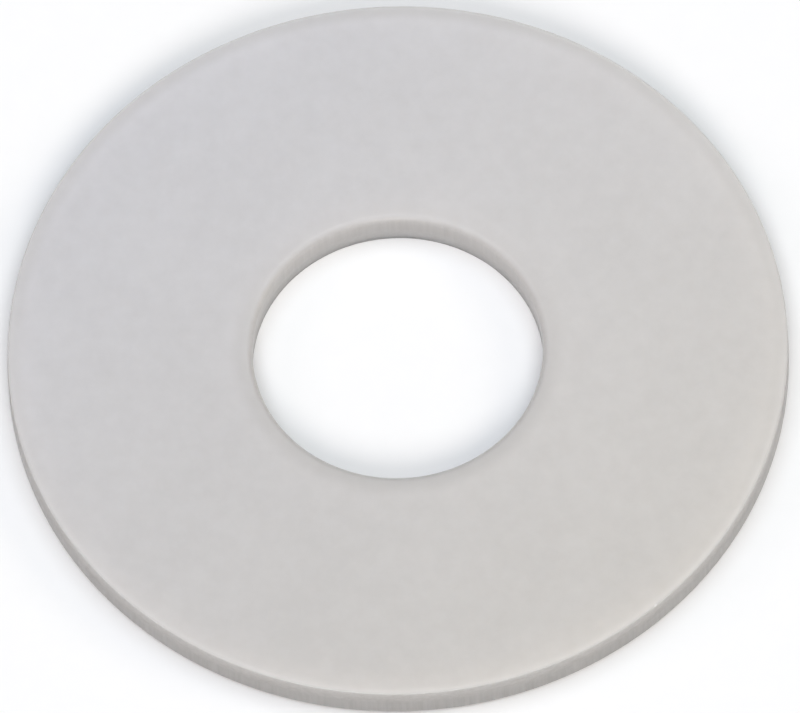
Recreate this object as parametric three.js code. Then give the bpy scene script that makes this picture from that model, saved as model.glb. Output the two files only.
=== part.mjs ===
// Plain flat washer, punched from plastic sheet.
// Millimetres, +Z up. The origin is the centre of the underside, on the washer's own axis.
//
// The ring is one solid of revolution. Its four edges are those that two punch strokes leave.
// The first stroke pierces the bore from above and rolls over the bore's upper edge. The second
// pushes the ring down out of the sheet and rolls over the rim's lower edge. The other two edges
// are crisp.

import * as THREE from 'three';

// Driving dimensions: a large washer whose bore clears a 12 mm or a 1/2 in bolt.
const OUTER_DIAMETER = 35;
const BORE_DIAMETER = 13;
const THICKNESS = 1.8;

// How far each rolled edge reaches along the face, and how far along the wall.
const ROLL_ON_FACE = 0.3;
const ROLL_ON_WALL = 0.26;
// The crisp edges are broken by a very small flat, this far along the face and along the wall.
const CRISP_BREAK = 0.05;

const SEGMENTS_ROUND = 128;
const SEGMENTS_PER_ROLL = 6;

const OUTER_RADIUS = OUTER_DIAMETER / 2;
const BORE_RADIUS = BORE_DIAMETER / 2;
const QUARTER_TURN = Math.PI / 2;

// Points of a rolled edge: a quarter of an ellipse, anticlockwise from the angle `start`.
function rolledEdge(centreRadius, centreHeight, start) {
  const edge = new THREE.EllipseCurve(
    centreRadius, centreHeight, ROLL_ON_FACE, ROLL_ON_WALL, start, start + QUARTER_TURN);
  return edge.getPoints(SEGMENTS_PER_ROLL);
}

// The ring's section as a closed loop of (radius, height), anticlockwise: out along the underside,
// up the rim, back over the top face and down the bore.
function ringSection() {
  const start = new THREE.Vector2(BORE_RADIUS + CRISP_BREAK, 0);
  return [
    start,
    ...rolledEdge(OUTER_RADIUS - ROLL_ON_FACE, ROLL_ON_WALL, -QUARTER_TURN),
    new THREE.Vector2(OUTER_RADIUS, THICKNESS - CRISP_BREAK),
    new THREE.Vector2(OUTER_RADIUS - CRISP_BREAK, THICKNESS),
    ...rolledEdge(BORE_RADIUS + ROLL_ON_FACE, THICKNESS - ROLL_ON_WALL, QUARTER_TURN),
    new THREE.Vector2(BORE_RADIUS, CRISP_BREAK),
    start.clone(),
  ];
}

// A lathe turns its section round Y, so a quarter turn about X puts the washer's axis on +Z.
function ringGeometry() {
  const geometry = new THREE.LatheGeometry(ringSection(), SEGMENTS_ROUND);
  geometry.rotateX(QUARTER_TURN);
  return geometry;
}

const naturalNylon = new THREE.MeshStandardMaterial({
  color: 0xdbd9d6,
  roughness: 0.5,
  metalness: 0,
});

const washerRing = new THREE.Mesh(ringGeometry(), naturalNylon);
washerRing.name = 'washer_ring';

const washer = new THREE.Group();
washer.add(washerRing);

export default washer;
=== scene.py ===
"""A plain flat washer of natural nylon, punched from sheet, lying on a pale table in soft light.

Everything is in metres, +Z up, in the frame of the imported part: the origin is the centre of the
washer's underside and +Z is its axis. Small lengths are written as a number of millimetres * MM.
"""

import math

import bpy
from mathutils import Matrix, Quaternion, Vector, noise


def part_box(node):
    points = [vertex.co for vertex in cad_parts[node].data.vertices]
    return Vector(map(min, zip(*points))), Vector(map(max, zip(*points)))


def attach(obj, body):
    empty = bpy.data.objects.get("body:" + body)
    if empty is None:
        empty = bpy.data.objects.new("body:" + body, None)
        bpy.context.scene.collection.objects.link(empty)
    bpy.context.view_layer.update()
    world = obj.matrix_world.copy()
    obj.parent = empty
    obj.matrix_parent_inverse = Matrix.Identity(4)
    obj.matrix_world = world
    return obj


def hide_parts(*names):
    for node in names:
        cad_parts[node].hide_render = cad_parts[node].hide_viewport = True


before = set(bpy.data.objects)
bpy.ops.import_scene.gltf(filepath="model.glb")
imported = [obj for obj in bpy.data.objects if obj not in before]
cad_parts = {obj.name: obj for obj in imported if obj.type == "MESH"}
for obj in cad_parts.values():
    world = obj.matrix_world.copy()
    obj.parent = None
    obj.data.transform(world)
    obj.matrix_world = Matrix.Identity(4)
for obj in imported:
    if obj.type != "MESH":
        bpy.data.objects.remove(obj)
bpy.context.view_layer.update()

MM = 0.001
RING_NODE = "washer_ring"

# The ring's own sizes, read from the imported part.
ring_low, ring_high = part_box(RING_NODE)
OUTER_RADIUS = (ring_high.x - ring_low.x) / 2
BORE_RADIUS = min(v.co.xy.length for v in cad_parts[RING_NODE].data.vertices)
THICKNESS = ring_high.z - ring_low.z

# The punched edges. The bore's upper edge and the rim's lower edge are rolled over.
ROLL_ON_FACE = 0.30 * MM
ROLL_ON_WALL = 0.26 * MM
CRISP_RADIUS = 0.04 * MM

# Each wall is sheared smooth next to its rolled edge and torn beyond that, where it is set back.
TEAR_LINE = 0.95 * MM
TEAR_WAVER = 0.12 * MM
TEAR_BLEND = 0.22 * MM
TEAR_SETBACK = 0.030 * MM
TEAR_ROUGHNESS = 0.007 * MM
TEAR_BUMP_HEIGHT = 0.25 * MM
DRAG_DEPTH = 0.004 * MM
DRAG_LINE_LENGTH = 2.5 * MM
# The line where a wall tears wavers by a long wave and a share of a short one.
SHORT_WAVE_SHARE = 0.5
# How closely each kind of mark follows the next round a wall. About six times as many go round.
LONG_WAVES = 9
SHORT_WAVES = 34
TEAR_BUMPS = 55
DRAG_LINES = 90
# The faces are a little wavy.
FACE_WAVE = 0.004 * MM
FACE_WAVE_LENGTH = 5.0 * MM

# Small nicks in the rim's crisp upper edge: where each is, in degrees anticlockwise from +X, and
# how far it reaches along the edge and down it. The nylon is painted white where it was nicked,
# partly as stress whitening and partly as a painted highlight on the edge.
NICKS = (
    (-51, 0.14 * MM, 0.050 * MM),
    (-76, 0.09 * MM, 0.030 * MM),
    (117, 0.11 * MM, 0.035 * MM),
    (171, 0.09 * MM, 0.030 * MM),
)
NICK_REACH_INWARD = 0.12 * MM

# Where the smooth noise of each surface is drawn from, so that no two look alike. The noises of
# one wall are drawn from places that lie apart from each other.
RIM_SEED = 20
BORE_SEED = 40
TOP_SEED = 60
UNDERSIDE_SEED = 80
SHORT_WAVES_APART = 2
TEAR_BUMPS_APART = 5
DRAG_LINES_APART = 9

# How finely the mesh is divided.
SEGMENTS_ROUND = 900
FACE_STEPS = 22
WALL_STEPS = 14
ROLL_STEPS = 9
CRISP_STEPS = 3


# ---------------------------------------------------------------- the ring's shape

def along(start, end, steps):
    """Points from start up to but not including end, closer together near both ends."""
    for i in range(steps):
        share = (1 - math.cos(math.pi * i / steps)) / 2
        yield start + (end - start) * share


def quarter(centre, reach, first_angle, steps):
    """A quarter of an ellipse round centre, anticlockwise, without its last point."""
    for i in range(steps):
        angle = first_angle + math.pi / 2 * i / steps
        yield centre + Vector((reach.x * math.cos(angle), reach.y * math.sin(angle)))


def ring_section():
    """The ring's section, anticlockwise: (radius, height) points, and each point's share of wall.

    The share is 0 on the faces and 1 on the walls, and turns from one to the other at the corners.
    """
    roll = Vector((ROLL_ON_FACE, ROLL_ON_WALL))
    crisp = Vector((CRISP_RADIUS, CRISP_RADIUS))
    corners = (
        (Vector((OUTER_RADIUS - roll.x, roll.y)), roll, ROLL_STEPS, WALL_STEPS),
        (Vector((OUTER_RADIUS - crisp.x, THICKNESS - crisp.y)), crisp, CRISP_STEPS, FACE_STEPS),
        (Vector((BORE_RADIUS + roll.x, THICKNESS - roll.y)), roll, ROLL_STEPS, WALL_STEPS),
        (Vector((BORE_RADIUS + crisp.x, crisp.y)), crisp, CRISP_STEPS, FACE_STEPS),
    )
    points = []
    shares = []
    for turn, (centre, reach, corner_steps, straight_steps) in enumerate(corners):
        first_angle = (turn - 1) * math.pi / 2
        onto_wall = turn % 2 == 0
        for step in range(corner_steps):
            left = (1 - step / corner_steps) ** 2
            shares.append(1 - left if onto_wall else left)
        shares += [1.0 if onto_wall else 0.0] * straight_steps
        points += quarter(centre, reach, first_angle, corner_steps)
        end_angle = first_angle + math.pi / 2
        leaving = centre + Vector((reach.x * math.cos(end_angle), reach.y * math.sin(end_angle)))
        next_centre, next_reach = corners[(turn + 1) % 4][:2]
        arriving = next_centre + Vector((
            next_reach.x * math.cos(end_angle), next_reach.y * math.sin(end_angle)))
        points += along(leaving, arriving, straight_steps)
    return points, shares


def round_noise(angle, closeness, along_axis, seed):
    """Smooth noise from -1 to 1 that closes on itself round the ring."""
    return noise.noise(Vector((
        closeness * math.cos(angle), closeness * math.sin(angle), along_axis + seed)))


def smooth_step(share):
    """0 below 0, 1 above 1 and smooth between them."""
    share = min(1.0, max(0.0, share))
    return share * share * (3 - 2 * share)


def torn_share(angle, from_rolled_face, seed):
    """1 where a wall is torn, 0 where it is sheared, at this distance from its rolled edge."""
    long_wave = round_noise(angle, LONG_WAVES, 0, seed)
    short_wave = round_noise(angle, SHORT_WAVES, 0, seed + SHORT_WAVES_APART)
    waver = long_wave + SHORT_WAVE_SHARE * short_wave
    return smooth_step((from_rolled_face - TEAR_LINE - TEAR_WAVER * waver) / TEAR_BLEND)


def wall_setback(angle, from_rolled_face, seed):
    """How far a wall lies back from its sheared surface, at this distance from its rolled edge."""
    torn = torn_share(angle, from_rolled_face, seed)
    rough = round_noise(
        angle, TEAR_BUMPS, from_rolled_face / TEAR_BUMP_HEIGHT, seed + TEAR_BUMPS_APART)
    drag = abs(round_noise(
        angle, DRAG_LINES, from_rolled_face / DRAG_LINE_LENGTH, seed + DRAG_LINES_APART))
    return torn * (TEAR_SETBACK + TEAR_ROUGHNESS * rough) + (1 - torn) * DRAG_DEPTH * drag


def face_dip(x, y, seed):
    """How far a face lies below the flat, from 0 to twice FACE_WAVE."""
    return FACE_WAVE * (1 + noise.noise(Vector((x / FACE_WAVE_LENGTH, y / FACE_WAVE_LENGTH, seed))))


def nick_dip(angle, from_edge):
    """How far the rim's upper edge is pushed down at this angle, at this distance from the edge."""
    dip = 0.0
    for place, reach, depth in NICKS:
        turned = math.remainder(angle - math.radians(place), 2 * math.pi) * OUTER_RADIUS
        along_edge = smooth_step(1 - abs(turned) / reach)
        dip = max(dip, depth * along_edge)
    return dip * smooth_step(1 - from_edge / NICK_REACH_INWARD)


def surface_point(point, angle):
    """A section point turned to this angle, with the wall's and the face's unevenness."""
    radius, height = point
    from_rim_edge = OUTER_RADIUS - radius + THICKNESS - height
    on_rim = smooth_step((radius - (OUTER_RADIUS - ROLL_ON_FACE)) / ROLL_ON_FACE)
    on_bore = smooth_step((BORE_RADIUS + ROLL_ON_FACE - radius) / ROLL_ON_FACE)
    radius -= on_rim * wall_setback(angle, height, RIM_SEED)
    radius += on_bore * wall_setback(angle, THICKNESS - height, BORE_SEED)
    height -= nick_dip(angle, from_rim_edge)
    x, y = radius * math.cos(angle), radius * math.sin(angle)
    flat = 1 - max(on_rim, on_bore)
    if point.y > THICKNESS / 2:
        height -= flat * face_dip(x, y, TOP_SEED)
    else:
        height += flat * face_dip(x, y, UNDERSIDE_SEED)
    return x, y, height


def wall_marks(point, share, angle):
    """The shares of rim wall, of bore wall and of torn wall at a section point turned to angle."""
    if point.x > (BORE_RADIUS + OUTER_RADIUS) / 2:
        return share, 0.0, share * torn_share(angle, point.y, RIM_SEED)
    return 0.0, share, share * torn_share(angle, THICKNESS - point.y, BORE_SEED)


def make_ring():
    """The ring as one closed mesh, which carries each point's shares of wall."""
    section, shares = ring_section()
    count = len(section)
    points = []
    marks = []
    for turn in range(SEGMENTS_ROUND):
        angle = 2 * math.pi * turn / SEGMENTS_ROUND
        points += [surface_point(point, angle) for point in section]
        marks += [wall_marks(point, share, angle) for point, share in zip(section, shares)]
    faces = []
    for turn in range(SEGMENTS_ROUND):
        here = turn * count
        there = (turn + 1) % SEGMENTS_ROUND * count
        for i in range(count):
            j = (i + 1) % count
            faces.append((here + i, there + i, there + j, here + j))
    mesh = bpy.data.meshes.new("nylon_ring")
    mesh.from_pydata(points, [], faces)
    for name, values in zip(("rim_wall", "bore_wall", "torn_wall"), zip(*marks)):
        mesh.attributes.new(name, "FLOAT", "POINT").data.foreach_set("value", values)
    mesh.shade_smooth()
    ring = bpy.data.objects.new("nylon_ring", mesh)
    bpy.context.scene.collection.objects.link(ring)
    return ring


# ---------------------------------------------------------------- surfaces

class Field:
    """A value that varies over a surface. Arithmetic on it adds Math nodes."""

    def __init__(self, surface, socket):
        self.surface = surface
        self.socket = socket

    def math(self, operation, *values):
        return self.surface.node("ShaderNodeMath", {"operation": operation}, dict(enumerate(values)))

    def __add__(self, other):
        return self.math("ADD", self, other)

    def __radd__(self, other):
        return self.math("ADD", other, self)

    def __sub__(self, other):
        return self.math("SUBTRACT", self, other)

    def __rsub__(self, other):
        return self.math("SUBTRACT", other, self)

    def __mul__(self, other):
        return self.math("MULTIPLY", self, other)

    def __rmul__(self, other):
        return self.math("MULTIPLY", other, self)

    def __truediv__(self, other):
        return self.math("DIVIDE", self, other)

    def __rtruediv__(self, other):
        return self.math("DIVIDE", other, self)

    def __abs__(self):
        return self.math("ABSOLUTE", self)


class Surface:
    """One material and the nodes that make it."""

    def __init__(self, name):
        self.material = bpy.data.materials.new(name)
        self.material.use_nodes = True
        self.material.node_tree.nodes.clear()

    def node(self, kind, settings, inputs, output=0):
        """Adds a node with these settings and these values or links, and returns one output."""
        tree = self.material.node_tree
        made = tree.nodes.new(kind)
        for name, value in settings.items():
            setattr(made, name, value)
        for name, value in inputs.items():
            if isinstance(value, Field):
                tree.links.new(value.socket, made.inputs[name])
            else:
                made.inputs[name].default_value = value
        return Field(self, made.outputs[output]) if made.outputs else None

    def place(self):
        """Where a point lies on the object, in millimetres."""
        metres = self.node("ShaderNodeTexCoord", {}, {}, "Object")
        return self.scaled(metres, (1 / MM, 1 / MM, 1 / MM))

    def scaled(self, vector, factors):
        """A vector with each part multiplied by its own factor."""
        return self.node("ShaderNodeVectorMath", {"operation": "MULTIPLY"}, {0: vector, 1: factors})

    def part(self, vector, letter):
        """The X, Y or Z part of a vector."""
        return self.node("ShaderNodeSeparateXYZ", {}, {0: vector}, letter)

    def marked(self, name):
        """A share that the mesh carries at its points."""
        return self.node("ShaderNodeAttribute", {"attribute_name": name}, {}, "Fac")

    def length(self, vector):
        """How long a vector is."""
        return self.node("ShaderNodeVectorMath", {"operation": "LENGTH"}, {0: vector}, "Value")

    def distance(self, vector, spot):
        """How far a place lies from a spot."""
        return self.node(
            "ShaderNodeVectorMath", {"operation": "DISTANCE"}, {0: vector, 1: spot}, "Value")

    def scratches(self, place, angle, coverage):
        """Fine straight scratches at this angle, from 0 to 1, broken up so that each is short."""
        turned = self.node(
            "ShaderNodeVectorRotate", {"rotation_type": "Z_AXIS"},
            {"Vector": place, "Angle": math.radians(angle)})
        lines = self.noise(self.scaled(turned, SCRATCH_STRETCH), 1.0, detail=2)
        gaps = self.noise(place, SCRATCH_GAPS_PER_MM, detail=1)
        fine = 1 - self.step(abs(lines - 0.5), *SCRATCH_FINENESS)
        return fine * self.step(gaps, 1 - coverage - SCRATCH_FADE, 1 - coverage)

    def noise(self, vector, per_mm, detail=2.0, roughness=0.5):
        """Smooth noise from 0 to 1 with this many features to the millimetre."""
        return self.node(
            "ShaderNodeTexNoise", {},
            {"Vector": vector, "Scale": per_mm, "Detail": detail, "Roughness": roughness})

    def step(self, value, low, high):
        """0 below low, 1 above high and smooth between them."""
        return self.node(
            "ShaderNodeMapRange", {"interpolation_type": "SMOOTHSTEP"},
            {"Value": value, "From Min": low, "From Max": high})

    def mix(self, share, first, second):
        """A colour from first to second."""
        return self.node(
            "ShaderNodeMix", {"data_type": "RGBA"}, {0: share, 6: first, 7: second}, 2)

    def multiplied(self, first, second):
        """Two colours multiplied."""
        return self.node(
            "ShaderNodeMix", {"data_type": "RGBA", "blend_type": "MULTIPLY"},
            {0: 1.0, 6: first, 7: second}, 2)

    def principled(self, inputs):
        """Ends the material in a Principled shader with these inputs."""
        shader = self.node("ShaderNodeBsdfPrincipled", {}, inputs)
        self.node("ShaderNodeOutputMaterial", {}, {"Surface": shader})
        return self.material


# Colours of the nylon, from its darker to its lighter clouds.
FACE_TONE_LOW = (0.578, 0.567, 0.561, 1)
FACE_TONE_HIGH = (0.628, 0.618, 0.614, 1)
# The walls' tones: the clearer sheared nylon, darkened further with painted shade.
WALL_TONE_LOW = (0.325, 0.314, 0.303, 1)
WALL_TONE_HIGH = (0.430, 0.419, 0.408, 1)
# The nicks' white, partly stress whitening and partly a painted highlight.
NICK_WHITE_AND_HIGHLIGHT = (0.86, 0.86, 0.85, 1)
# What the faces' tone is multiplied by, as painted light: painted cool light on one side and warm
# on the other, and by how much the painted warm light leans from -X, +Y towards +X, -Y.
PAINTED_COOL_LIGHT = (0.993, 1.000, 1.038, 1)
PAINTED_WARM_LIGHT = (1.020, 1.000, 0.956, 1)
PAINTED_WARM_LIGHT_LEAN = 0.36
# How the faces vary: features to the millimetre and how much each counts. The faces are also
# made lighter in one direction with painted light.
CLOUDS_PER_MM, CLOUD_SHARE = 0.16, 0.7
MOTTLE_PER_MM, MOTTLE_SHARE = 1.3, 1.3
PAINTED_LIGHT_TOWARDS, PAINTED_LIGHT_SHARE = (0.5, 0.87), 0.32
# How far each punched wall goes from the faces' milky tone to the clearer, darker one, which is
# partly the clearer sheared nylon and partly painted shade.
RIM_CLEARNESS_AND_SHADE = 1.0
BORE_CLEARNESS_AND_SHADE = 0.70
# Painted shade darkens the faces towards their edges, over this many millimetres. Each share is
# the mean round the edge and how much more of it there is on the +Y side. The painted shade is
# heaviest where an edge's wall faces away from the front light.
RIM_EDGE_REACH = 0.9
RIM_EDGE_PAINTED_SHADE, RIM_EDGE_PAINTED_SHADE_LEAN = 0.38, 0.22
BORE_EDGE_REACH = 1.2
BORE_EDGE_PAINTED_SHADE, BORE_EDGE_PAINTED_SHADE_LEAN = 0.41, -0.17
# Painted shade darkens the very corner of the rim's crisp edge further, over this many millimetres.
CORNER_REACH = 0.18
CORNER_PAINTED_SHADE = 0.55
# The sheared walls' streaks and the torn walls' frost: features to the millimetre, how much they
# are squeezed in height, how strong they are and how much darker they make the wall.
STREAKS_PER_MM, STREAK_SQUEEZE = 5.0, 0.05
STREAK_CONTRAST, STREAK_DARKENING = 1.6, 0.95
FROST_PER_MM, FROST_SQUEEZE = 4.0, 1.6
FROST_CONTRAST, FROST_DARKENING = 2.2, 0.85
# A nick's whitening, partly a painted highlight: how much, from and to which share of its reach it
# fades, and its raggedness.
NICK_WHITENING_AND_HIGHLIGHT = 0.5
NICK_FADE = (0.5, 1.5)
NICK_RAGS_PER_MM, NICK_RAG = 14.0, 0.12
# Fine scratches on the faces, in two directions: the angle in degrees and roughly how much of a
# face has them. Then how they are stretched, how fine they are, and the gaps between them.
SCRATCHES = ((24, 0.35), (-67, 0.28))
SCRATCH_STRETCH = (0.12, 5.0, 0.12)
SCRATCH_FINENESS = (0.002, 0.012)
SCRATCH_GAPS_PER_MM, SCRATCH_FADE = 0.22, 0.1
# The finest relief, as a height and how much each of its marks counts.
RELIEF_HEIGHT = 0.0012 * MM
GRAIN_PER_MM = 7.0
SCRATCH_RELIEF = 0.9
STREAK_RELIEF = 2.5
FROST_RELIEF = 10
# The faces' roughness, and how much each mark adds to it or, on the sheared walls, takes off.
SATIN = 0.42
MOTTLE_ROUGHNESS = 0.08
SCRATCH_ROUGHNESS = 0.1
SHEARED_GLOSS = 0.10
FROST_ROUGHNESS = 0.3
# How far light wanders inside the nylon, and the share of that for red, green and blue.
SCATTER_LENGTH = 2.4 * MM
SCATTER_COLOURS = (1.0, 0.96, 0.92)
NYLON_IOR = 1.53


def natural_nylon():
    """Milky, faintly warm nylon: satin faces, and walls sheared smooth and torn rough."""
    s = Surface("milky_nylon")
    place = s.place()
    radius = s.length(s.scaled(place, (1, 1, 0)))
    rim_radius = OUTER_RADIUS / MM
    bore_radius = BORE_RADIUS / MM
    rim_wall = s.marked("rim_wall")
    bore_wall = s.marked("bore_wall")
    torn = s.marked("torn_wall")
    wall = rim_wall + bore_wall
    sheared = wall - torn

    # The faces: cloudy, with painted light making them lighter towards one side, and painted shade
    # next to the punched edges, heaviest where an edge's wall faces away from the front light.
    cloud = s.noise(place, CLOUDS_PER_MM, detail=2)
    mottle = s.noise(place, MOTTLE_PER_MM, detail=4, roughness=0.6)
    x = s.part(place, "X")
    y = s.part(place, "Y")
    # Painted light: the faces are made lighter towards one side.
    painted_light_lean = (x * PAINTED_LIGHT_TOWARDS[0] + y * PAINTED_LIGHT_TOWARDS[1]) / rim_radius
    tone = 0.5 + painted_light_lean * PAINTED_LIGHT_SHARE + (cloud - 0.5) * CLOUD_SHARE + (mottle - 0.5) * MOTTLE_SHARE
    # Painted light: a cool and a warm tint of light, laid on the faces from one side to the other.
    painted_warmth = 0.5 + (x - y) * PAINTED_WARM_LIGHT_LEAN / rim_radius
    milky_and_painted_light = s.mix(tone, FACE_TONE_LOW, FACE_TONE_HIGH)
    milky_and_painted_light = s.multiplied(milky_and_painted_light, s.mix(painted_warmth, PAINTED_COOL_LIGHT, PAINTED_WARM_LIGHT))
    # Painted shade along the faces' edges, heaviest where an edge's wall faces away from the front
    # light, and more of it at the rim's very corner.
    near_rim = s.step(radius, rim_radius - RIM_EDGE_REACH, rim_radius)
    near_bore = 1 - s.step(radius, bore_radius, bore_radius + BORE_EDGE_REACH)
    at_corner = s.step(radius, rim_radius - CORNER_REACH, rim_radius)
    facing = y / radius
    painted_edge_shade = near_rim * (RIM_EDGE_PAINTED_SHADE + facing * RIM_EDGE_PAINTED_SHADE_LEAN)
    painted_edge_shade = painted_edge_shade + near_bore * (BORE_EDGE_PAINTED_SHADE + facing * BORE_EDGE_PAINTED_SHADE_LEAN)
    painted_shade_at_edges = (painted_edge_shade + at_corner * CORNER_PAINTED_SHADE) * (1 - wall)

    # The walls: streaked along the punch's travel where they are sheared, frosted where torn.
    drawn_out = s.scaled(place, (1, 1, STREAK_SQUEEZE))
    pressed = s.scaled(place, (1, 1, FROST_SQUEEZE))
    streak = s.noise(drawn_out, STREAKS_PER_MM, detail=4, roughness=0.65)
    frost = s.noise(pressed, FROST_PER_MM, detail=5, roughness=0.7)
    streaked = sheared * (streak * STREAK_CONTRAST - STREAK_DARKENING)
    frosted = torn * (frost * FROST_CONTRAST - FROST_DARKENING)
    # The walls' darker tone is partly the clearer sheared nylon and partly painted shade.
    clearer_and_shaded_wall = s.mix(0.5 + streaked + frosted, WALL_TONE_LOW, WALL_TONE_HIGH)
    clearness_and_painted_shade = rim_wall * RIM_CLEARNESS_AND_SHADE + bore_wall * BORE_CLEARNESS_AND_SHADE + painted_shade_at_edges
    colour = s.mix(clearness_and_painted_shade, milky_and_painted_light, clearer_and_shaded_wall)

    # The nicks, whitened: partly stress whitening, partly a painted highlight on the rim's edge.
    ragged = s.noise(place, NICK_RAGS_PER_MM, detail=3, roughness=0.7) * NICK_RAG
    for degrees, reach, _ in NICKS:
        angle = math.radians(degrees)
        spot = (rim_radius * math.cos(angle), rim_radius * math.sin(angle), THICKNESS / MM)
        from_nick = s.distance(place, spot) + ragged
        whitened_and_highlit = 1 - s.step(from_nick, NICK_FADE[0] * reach / MM, NICK_FADE[1] * reach / MM)
        colour = s.mix(whitened_and_highlit * NICK_WHITENING_AND_HIGHLIGHT, colour, NICK_WHITE_AND_HIGHLIGHT)

    grain = s.noise(place, GRAIN_PER_MM, detail=3, roughness=0.6)
    scratch = s.scratches(place, *SCRATCHES[0]) + s.scratches(place, *SCRATCHES[1])
    on_face = (1 - wall) * (grain - scratch * SCRATCH_RELIEF)
    height = on_face + sheared * streak * STREAK_RELIEF + torn * frost * FROST_RELIEF
    relief = s.node(
        "ShaderNodeBump", {}, {"Strength": 1.0, "Distance": RELIEF_HEIGHT, "Height": height})
    roughness = SATIN + mottle * MOTTLE_ROUGHNESS + scratch * SCRATCH_ROUGHNESS
    roughness = roughness - sheared * SHEARED_GLOSS + torn * (frost * FROST_ROUGHNESS)
    return s.principled({
        "Base Color": colour,
        "Roughness": roughness,
        "IOR": NYLON_IOR,
        "Normal": relief,
        "Subsurface Weight": 1.0,
        "Subsurface Radius": SCATTER_COLOURS,
        "Subsurface Scale": SCATTER_LENGTH,
    })


CARD_TONE_LOW = (0.925, 0.925, 0.925, 1)
CARD_TONE_HIGH = (0.945, 0.945, 0.945, 1)
CARD_FIBRES_PER_MM = 0.8
CARD_ROUGHNESS = 0.9
CARD_SPECULAR = 0.2


def pale_card():
    """The table: smooth pale card."""
    s = Surface("pale_card")
    fibre = s.noise(s.place(), CARD_FIBRES_PER_MM, detail=3)
    return s.principled({
        "Base Color": s.mix(fibre, CARD_TONE_LOW, CARD_TONE_HIGH),
        "Roughness": CARD_ROUGHNESS,
        "Specular IOR Level": CARD_SPECULAR,
    })


# ---------------------------------------------------------------- table, light and camera

TABLE_RADIUS = 2.5
TABLE_CORNERS = 96
TABLE_GAP = 0.01 * MM


def make_table():
    """A round table just under the washer, wide enough to fill every view."""
    angles = [2 * math.pi * i / TABLE_CORNERS for i in range(TABLE_CORNERS)]
    corners = [
        (TABLE_RADIUS * math.cos(angle), TABLE_RADIUS * math.sin(angle), ring_low.z - TABLE_GAP)
        for angle in angles
    ]
    mesh = bpy.data.meshes.new("table_top")
    mesh.from_pydata(corners, [], [tuple(range(len(corners)))])
    mesh.materials.append(pale_card())
    table = bpy.data.objects.new("table_top", mesh)
    bpy.context.scene.collection.objects.link(table)


def outward(azimuth, elevation):
    """The direction from the washer towards this place. Azimuth 0 is in front, on the -Y side."""
    turn = math.radians(azimuth)
    rise = math.radians(elevation)
    return Vector((
        math.sin(turn) * math.cos(rise), -math.cos(turn) * math.cos(rise), math.sin(rise)))


ROOM_LIGHT = 0.31
# Each light's name, azimuth, elevation and spread in degrees, its strength and its colour.
LIGHTS = (
    ("overhead", 0, 90, 60, 1.40, (0.84, 0.92, 1.0)),
    ("front", 0, 40, 25, 1.26, (1.0, 0.945, 0.91)),
    ("right", 90, 35, 25, 0.42, (1.0, 0.86, 0.66)),
    ("left", 270, 35, 25, 0.24, (1.0, 0.80, 0.80)),
)


def light_studio():
    """A pale room and four broad suns, which light the whole table evenly."""
    world = bpy.data.worlds.new("room")
    world.use_nodes = True
    room = world.node_tree.nodes["Background"]
    room.inputs["Color"].default_value = (1.0, 1.0, 1.0, 1)
    room.inputs["Strength"].default_value = ROOM_LIGHT
    bpy.context.scene.world = world
    for name, azimuth, elevation, spread, strength, colour in LIGHTS:
        light = bpy.data.lights.new(name, "SUN")
        light.angle = math.radians(spread)
        light.energy = strength
        light.color = colour
        lamp = bpy.data.objects.new(name, light)
        towards_light = outward(azimuth, elevation)
        lamp.location = towards_light
        lamp.rotation_mode = "QUATERNION"
        lamp.rotation_quaternion = (-towards_light).to_track_quat("-Z", "Y")
        bpy.context.scene.collection.objects.link(lamp)


CAMERA_ELEVATION = 61.86
CAMERA_ROLL = 2.50
CAMERA_DISTANCE = 62.5 * OUTER_RADIUS
# The share of the picture's width that the ring's outer radius takes.
RADIUS_IN_PICTURE = 0.4883
SENSOR_WIDTH = 36.0
NEAREST_SEEN = 0.01
FURTHEST_SEEN = 10
# Where the camera looks, from the middle of the ring.
AIM_OFFSET = Vector((0.0052, 0.0014, 0)) * OUTER_RADIUS


def make_camera():
    """A camera in front of the washer and above it, far enough off to flatten the perspective."""
    data = bpy.data.cameras.new("camera")
    data.sensor_width = SENSOR_WIDTH
    data.lens = RADIUS_IN_PICTURE * SENSOR_WIDTH * CAMERA_DISTANCE / OUTER_RADIUS
    data.clip_start = NEAREST_SEEN
    data.clip_end = FURTHEST_SEEN
    camera = bpy.data.objects.new("camera", data)
    back = outward(0, CAMERA_ELEVATION)
    middle = Vector((0, 0, (ring_low.z + ring_high.z) / 2))
    camera.location = middle + AIM_OFFSET + back * CAMERA_DISTANCE
    camera.rotation_mode = "QUATERNION"
    roll = Quaternion((0, 0, 1), -math.radians(CAMERA_ROLL))
    camera.rotation_quaternion = (-back).to_track_quat("-Z", "Y") @ roll
    bpy.context.scene.collection.objects.link(camera)
    bpy.context.scene.camera = camera


# ---------------------------------------------------------------- the picture

make_camera()
make_table()
light_studio()
bpy.context.scene.view_settings.view_transform = "Standard"

ring = make_ring()
ring.data.materials.append(natural_nylon())
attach(ring, "root")
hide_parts(RING_NODE)
